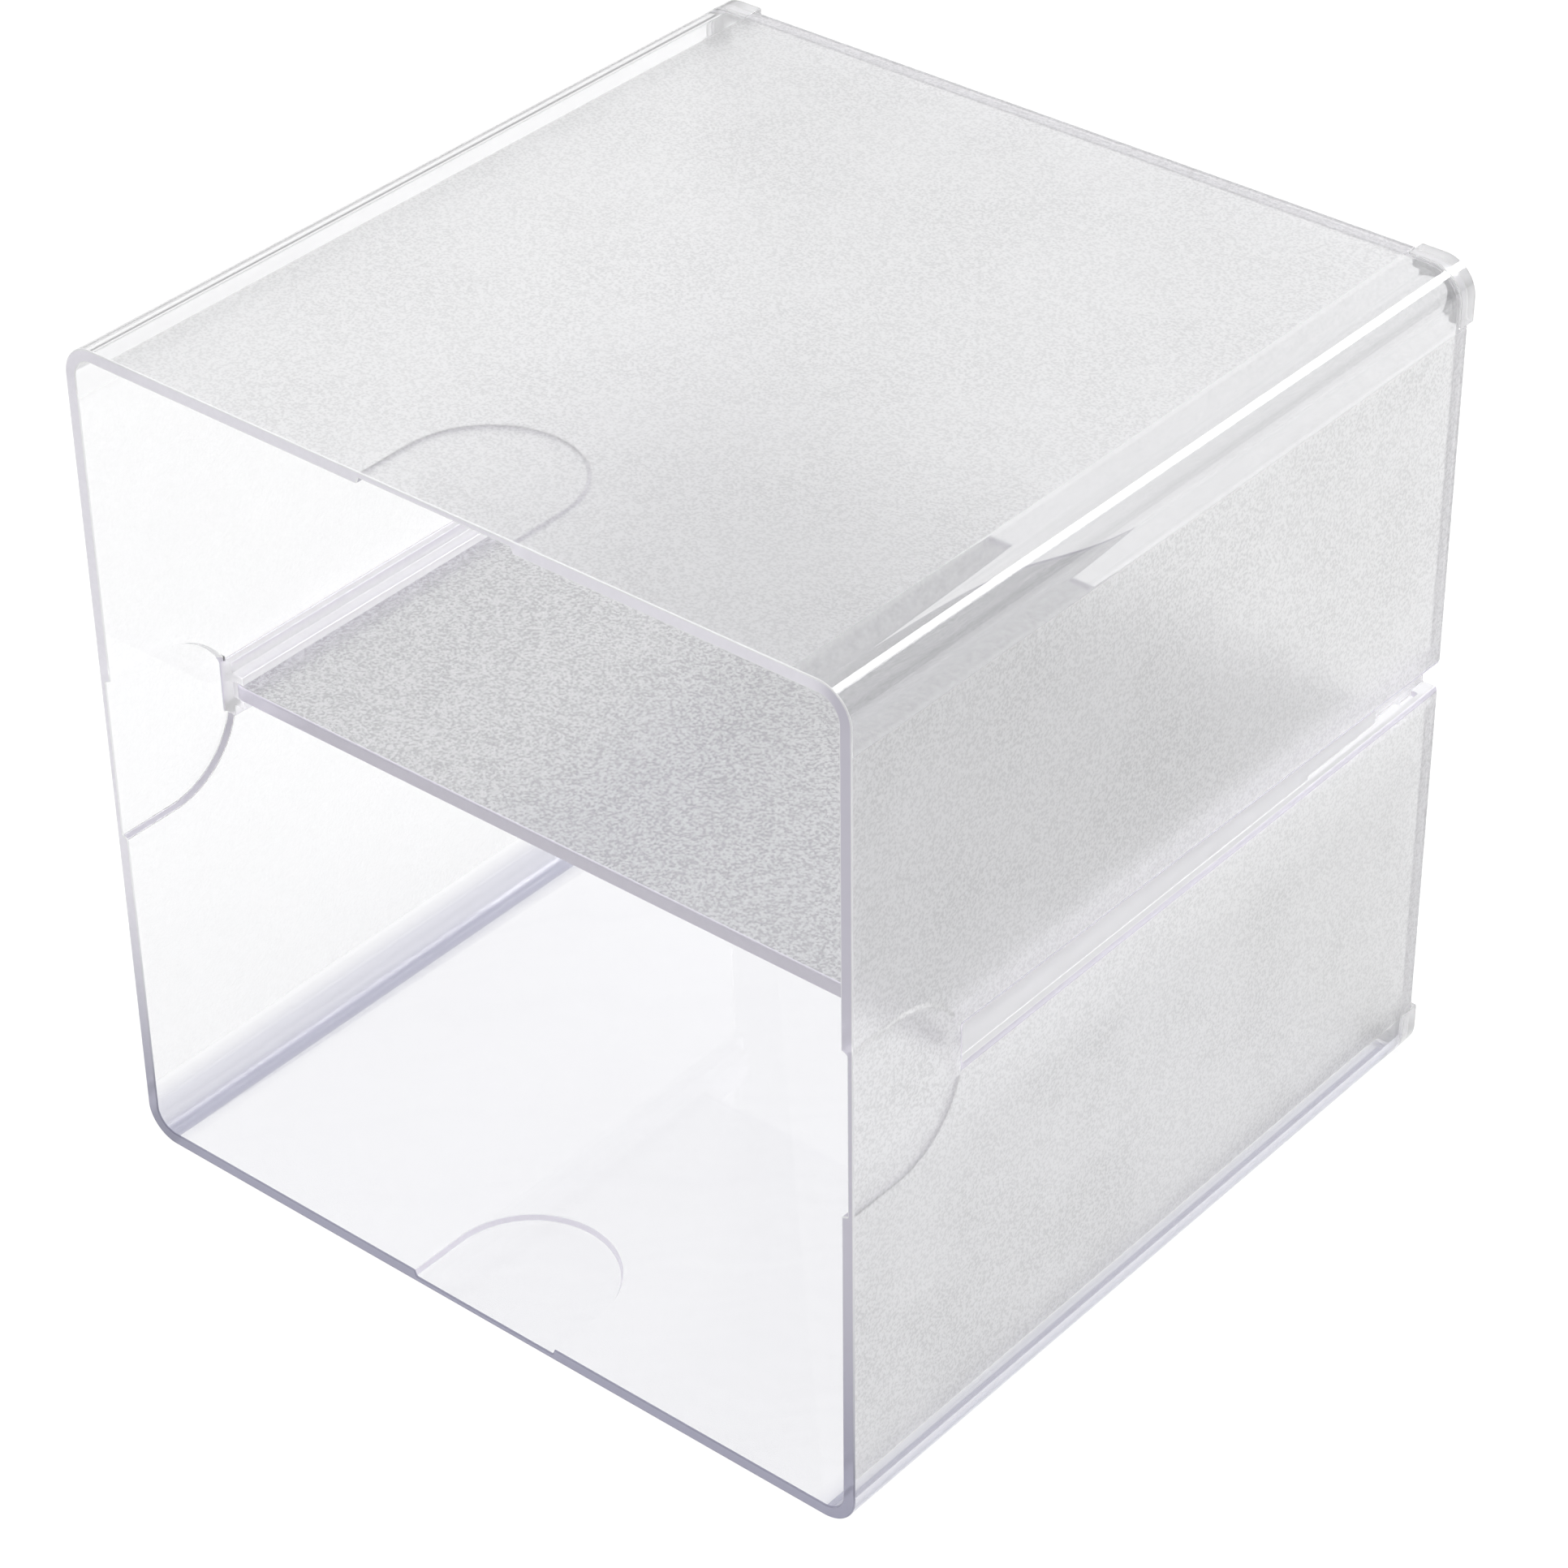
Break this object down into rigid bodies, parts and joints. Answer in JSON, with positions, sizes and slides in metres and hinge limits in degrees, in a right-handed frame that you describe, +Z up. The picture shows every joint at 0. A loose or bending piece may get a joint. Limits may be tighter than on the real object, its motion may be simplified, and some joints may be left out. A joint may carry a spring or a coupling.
{
  "type": "desk organizer",
  "caption": "Clear stackable cube desk organizer: an open-fronted four-walled sleeve with a back panel, corner clips and a divider shelf that slides out.",
  "frame": {"origin": "bottom centre of the whole organizer", "axes": "+Z up, the open front faces -Y, +X to the right as seen from the front"},
  "size_m": [0.1524, 0.151, 0.1524],
  "materials": {
    "clear_styrene": "clear, finely textured on the flat faces and polished on the rounded corners",
    "clip_styrene": "clear and polished",
    "shelf_styrene": "clear, pebble-textured on top, with polished edges"
  },
  "bodies": {
    "cube": {"cube_sleeve": "clear_styrene", "back_panel": "clear_styrene", "corner_clip_top_left": "clip_styrene", "corner_clip_top_right": "clip_styrene", "corner_clip_bottom_left": "clip_styrene", "corner_clip_bottom_right": "clip_styrene"},
    "shelf": {"divider_shelf": "shelf_styrene"}
  },
  "joints": [
    {"name": "shelf_slide", "type": "slide", "parent": "cube", "child": "shelf", "axis": [0, -1, 0], "range_m": [0, 0.14]}
  ]
}
